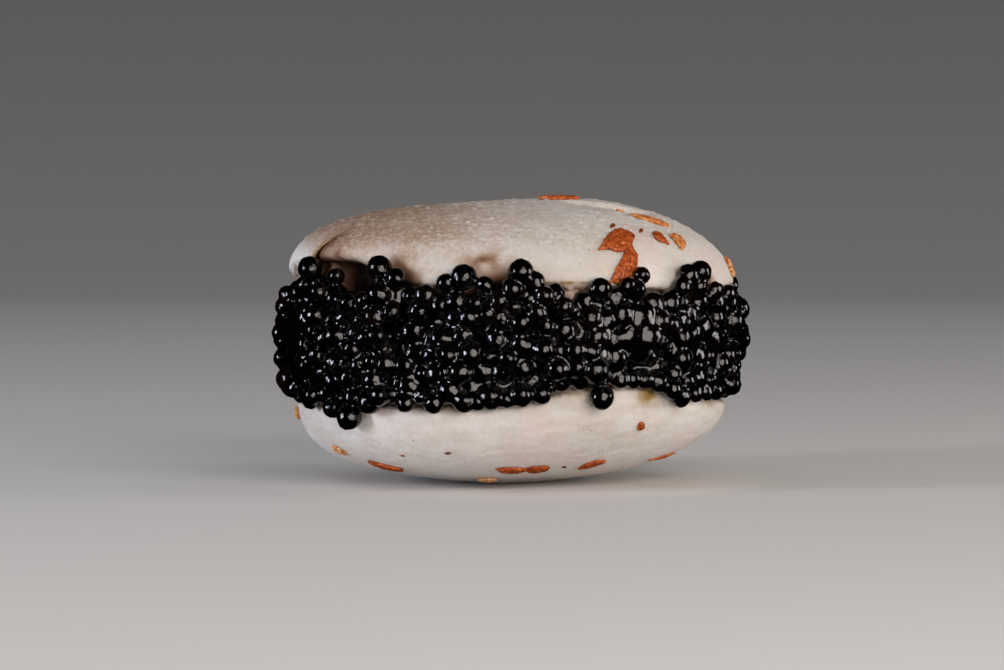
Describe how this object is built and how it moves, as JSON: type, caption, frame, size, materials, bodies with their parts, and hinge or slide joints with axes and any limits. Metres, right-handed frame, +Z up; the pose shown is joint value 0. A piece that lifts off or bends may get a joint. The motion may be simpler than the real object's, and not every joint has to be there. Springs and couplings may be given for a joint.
{
  "type": "caviar macaron",
  "caption": "Savoury macaron: two pale domed baked shells with toasted flakes on them, around a thick bulging band of black sturgeon caviar.",
  "frame": {"origin": "on the small flat at the bottom of the lower shell that the macaron rests on, below the middle of the shells", "axes": "+Z up through both shells, +X to the right and -Y to the front of the macaron as it is usually seen"},
  "size_m": [0.0505, 0.0513, 0.0298],
  "materials": {
    "shell": "matte baked meringue, warm off-white with orange-brown toasted flakes",
    "caviar": "wet, glossy black with a slight reddish-brown translucency"
  },
  "bodies": {
    "root": {"shell_lower": "shell", "caviar": "caviar", "shell_upper": "shell"}
  },
  "joints": []
}
